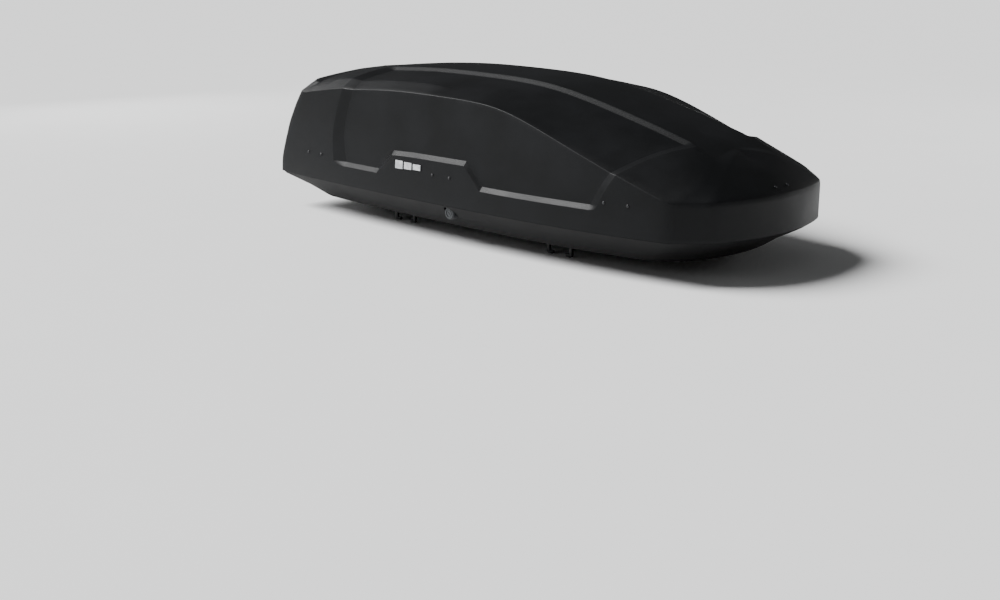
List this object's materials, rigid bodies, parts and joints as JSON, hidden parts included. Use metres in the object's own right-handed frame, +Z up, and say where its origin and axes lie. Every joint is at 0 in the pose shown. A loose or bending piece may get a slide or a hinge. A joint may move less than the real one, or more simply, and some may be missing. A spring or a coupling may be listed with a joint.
{
  "type": "roof cargo box",
  "caption": "Hard-shell roof box for car crossbars: a wedge-nosed lid that opens on either side, a tub with sliding bar clamps, side locks and lifter arms.",
  "frame": {"origin": "under the middle of the box, level with the lowest point of the crossbar jaws", "axes": "+X towards the nose, +Y towards the left side of the car, +Z up"},
  "size_m": [1.9, 0.84, 0.5128],
  "materials": {
    "lid_abs": "fine-grained black ABS",
    "tub_abs": "textured black ABS",
    "rubber": "matt rubber",
    "rail_steel": "zinc-plated steel",
    "rivet_aluminium": "bright",
    "latch_plastic": "glass-filled nylon",
    "lock_grey": "grey satin",
    "rod_steel": "zinc-plated steel",
    "arm_paint": "black powder coat",
    "webbing": "woven polyester",
    "hoop_plastic": "black nylon",
    "rivet_black": "black painted",
    "badge_grey": "silver-grey satin",
    "clamp_plastic": "glass-filled nylon",
    "knob_plastic": "moulded",
    "jaw_steel": "black coated steel"
  },
  "bodies": {
    "base": {"base_tub": "tub_abs", "rim_seal": "rubber", "floor_rail_right": "rail_steel", "floor_rail_left": "rail_steel", "crossbar_pads": "rubber", "floor_rivets": "rivet_aluminium", "latch_seats_right": "latch_plastic", "latch_seats_left": "latch_plastic", "arm_posts_right": "latch_plastic", "arm_posts_left": "latch_plastic", "lock_housing_right": "latch_plastic", "lock_housing_left": "latch_plastic", "load_strap_front": "webbing", "load_strap_rear": "webbing", "strap_buckle_front": "latch_plastic", "strap_buckle_rear": "latch_plastic"},
    "arms_b": {"front_arm_b": "arm_paint", "rear_arm_b": "arm_paint"},
    "arms_a": {"front_arm_a": "arm_paint", "rear_arm_a": "arm_paint"},
    "lid": {"lid_shell": "lid_abs", "lid_brackets_right": "latch_plastic", "lid_brackets_left": "latch_plastic", "lid_arm_ears_right": "latch_plastic", "lid_arm_ears_left": "latch_plastic", "lid_hoop_front": "hoop_plastic", "lid_hoop_rear": "hoop_plastic", "lid_side_rivets": "rivet_black", "lid_nose_rivets": "rivet_black", "nose_plate": "latch_plastic", "badge_right": "badge_grey", "badge_left": "badge_grey"},
    "lock_knob_right": {"lock_knob_right": "lock_grey"},
    "lock_rod_right": {"lock_rod_right": "rod_steel"},
    "lock_knob_left": {"lock_knob_left": "lock_grey"},
    "lock_rod_left": {"lock_rod_left": "rod_steel"},
    "clamp_carriage_front_right": {"clamp_carriage_front_right": "clamp_plastic"},
    "clamp_knob_front_right": {"clamp_knob_front_right": "knob_plastic"},
    "clamp_jaw_fore_front_right": {"clamp_jaw_fore_front_right": "jaw_steel"},
    "clamp_jaw_aft_front_right": {"clamp_jaw_aft_front_right": "jaw_steel"},
    "clamp_carriage_front_left": {"clamp_carriage_front_left": "clamp_plastic"},
    "clamp_knob_front_left": {"clamp_knob_front_left": "knob_plastic"},
    "clamp_jaw_fore_front_left": {"clamp_jaw_fore_front_left": "jaw_steel"},
    "clamp_jaw_aft_front_left": {"clamp_jaw_aft_front_left": "jaw_steel"},
    "clamp_carriage_rear_right": {"clamp_carriage_rear_right": "clamp_plastic"},
    "clamp_knob_rear_right": {"clamp_knob_rear_right": "knob_plastic"},
    "clamp_jaw_fore_rear_right": {"clamp_jaw_fore_rear_right": "jaw_steel"},
    "clamp_jaw_aft_rear_right": {"clamp_jaw_aft_rear_right": "jaw_steel"},
    "clamp_carriage_rear_left": {"clamp_carriage_rear_left": "clamp_plastic"},
    "clamp_knob_rear_left": {"clamp_knob_rear_left": "knob_plastic"},
    "clamp_jaw_fore_rear_left": {"clamp_jaw_fore_rear_left": "jaw_steel"},
    "clamp_jaw_aft_rear_left": {"clamp_jaw_aft_rear_left": "jaw_steel"}
  },
  "joints": [
    {"name": "lid_left_hinge", "type": "hinge", "parent": "base", "child": "arms_b", "pos_m": [0, 0.355, 0.131], "axis": [-1, 0, 0], "range_deg": [0, 42]},
    {"name": "lid_right_hinge", "type": "hinge", "parent": "arms_b", "child": "lid", "pos_m": [0, -0.355, 0.131], "axis": [1, 0, 0], "range_deg": [0, 42]},
    {"name": "arms_a_hinge", "type": "hinge", "parent": "base", "child": "arms_a", "pos_m": [0, -0.355, 0.131], "axis": [1, 0, 0], "range_deg": [0, 42]},
    {"name": "lock_right_turn", "type": "hinge", "parent": "base", "child": "lock_knob_right", "pos_m": [-0.027, -0.37, 0.095], "axis": [0, 1, 0], "range_deg": [0, 90]},
    {"name": "lock_rod_right_slide", "type": "slide", "parent": "base", "child": "lock_rod_right", "axis": [1, 0, 0], "range_m": [0, 0.0226]},
    {"name": "lock_left_turn", "type": "hinge", "parent": "base", "child": "lock_knob_left", "pos_m": [-0.027, 0.37, 0.095], "axis": [0, 1, 0], "range_deg": [0, 90]},
    {"name": "lock_rod_left_slide", "type": "slide", "parent": "base", "child": "lock_rod_left", "axis": [1, 0, 0], "range_m": [0, 0.0226]},
    {"name": "clamp_front_right_slide", "type": "slide", "parent": "base", "child": "clamp_carriage_front_right", "axis": [1, 0, 0], "range_m": [-0.07, 0.07]},
    {"name": "clamp_front_right_turn", "type": "hinge", "parent": "clamp_carriage_front_right", "child": "clamp_knob_front_right", "pos_m": [0.33, -0.262, 0.0513], "axis": [0, 0, 1], "range_deg": [0, 270]},
    {"name": "jaw_fore_front_right_swing", "type": "hinge", "parent": "clamp_carriage_front_right", "child": "clamp_jaw_fore_front_right", "pos_m": [0.376, -0.262, 0.0593], "axis": [0, -1, 0], "range_deg": [0, 25]},
    {"name": "jaw_aft_front_right_swing", "type": "hinge", "parent": "clamp_carriage_front_right", "child": "clamp_jaw_aft_front_right", "pos_m": [0.284, -0.262, 0.0593], "axis": [0, 1, 0], "range_deg": [0, 25]},
    {"name": "clamp_front_left_slide", "type": "slide", "parent": "base", "child": "clamp_carriage_front_left", "axis": [1, 0, 0], "range_m": [-0.07, 0.07]},
    {"name": "clamp_front_left_turn", "type": "hinge", "parent": "clamp_carriage_front_left", "child": "clamp_knob_front_left", "pos_m": [0.33, 0.262, 0.0513], "axis": [0, 0, 1], "range_deg": [0, 270]},
    {"name": "jaw_fore_front_left_swing", "type": "hinge", "parent": "clamp_carriage_front_left", "child": "clamp_jaw_fore_front_left", "pos_m": [0.376, 0.262, 0.0593], "axis": [0, -1, 0], "range_deg": [0, 25]},
    {"name": "jaw_aft_front_left_swing", "type": "hinge", "parent": "clamp_carriage_front_left", "child": "clamp_jaw_aft_front_left", "pos_m": [0.284, 0.262, 0.0593], "axis": [0, 1, 0], "range_deg": [0, 25]},
    {"name": "clamp_rear_right_slide", "type": "slide", "parent": "base", "child": "clamp_carriage_rear_right", "axis": [1, 0, 0], "range_m": [-0.07, 0.07]},
    {"name": "clamp_rear_right_turn", "type": "hinge", "parent": "clamp_carriage_rear_right", "child": "clamp_knob_rear_right", "pos_m": [-0.385, -0.262, 0.0513], "axis": [0, 0, 1], "range_deg": [0, 270]},
    {"name": "jaw_fore_rear_right_swing", "type": "hinge", "parent": "clamp_carriage_rear_right", "child": "clamp_jaw_fore_rear_right", "pos_m": [-0.339, -0.262, 0.0593], "axis": [0, -1, 0], "range_deg": [0, 25]},
    {"name": "jaw_aft_rear_right_swing", "type": "hinge", "parent": "clamp_carriage_rear_right", "child": "clamp_jaw_aft_rear_right", "pos_m": [-0.431, -0.262, 0.0593], "axis": [0, 1, 0], "range_deg": [0, 25]},
    {"name": "clamp_rear_left_slide", "type": "slide", "parent": "base", "child": "clamp_carriage_rear_left", "axis": [1, 0, 0], "range_m": [-0.07, 0.07]},
    {"name": "clamp_rear_left_turn", "type": "hinge", "parent": "clamp_carriage_rear_left", "child": "clamp_knob_rear_left", "pos_m": [-0.385, 0.262, 0.0513], "axis": [0, 0, 1], "range_deg": [0, 270]},
    {"name": "jaw_fore_rear_left_swing", "type": "hinge", "parent": "clamp_carriage_rear_left", "child": "clamp_jaw_fore_rear_left", "pos_m": [-0.339, 0.262, 0.0593], "axis": [0, -1, 0], "range_deg": [0, 25]},
    {"name": "jaw_aft_rear_left_swing", "type": "hinge", "parent": "clamp_carriage_rear_left", "child": "clamp_jaw_aft_rear_left", "pos_m": [-0.431, 0.262, 0.0593], "axis": [0, 1, 0], "range_deg": [0, 25]}
  ],
  "couplings": [
    {"joint": "arms_a_hinge", "follows": "lid_right_hinge", "ratio": 1},
    {"joint": "lock_right_turn", "follows": "lock_rod_right_slide", "rad_per_m": 69.42},
    {"joint": "lock_left_turn", "follows": "lock_rod_left_slide", "rad_per_m": 69.42},
    {"joint": "jaw_fore_front_right_swing", "follows": "clamp_front_right_turn", "ratio": 0.0925},
    {"joint": "jaw_aft_front_right_swing", "follows": "clamp_front_right_turn", "ratio": 0.0925},
    {"joint": "jaw_fore_front_left_swing", "follows": "clamp_front_left_turn", "ratio": 0.0925},
    {"joint": "jaw_aft_front_left_swing", "follows": "clamp_front_left_turn", "ratio": 0.0925},
    {"joint": "jaw_fore_rear_right_swing", "follows": "clamp_rear_right_turn", "ratio": 0.0925},
    {"joint": "jaw_aft_rear_right_swing", "follows": "clamp_rear_right_turn", "ratio": 0.0925},
    {"joint": "jaw_fore_rear_left_swing", "follows": "clamp_rear_left_turn", "ratio": 0.0925},
    {"joint": "jaw_aft_rear_left_swing", "follows": "clamp_rear_left_turn", "ratio": 0.0925}
  ]
}
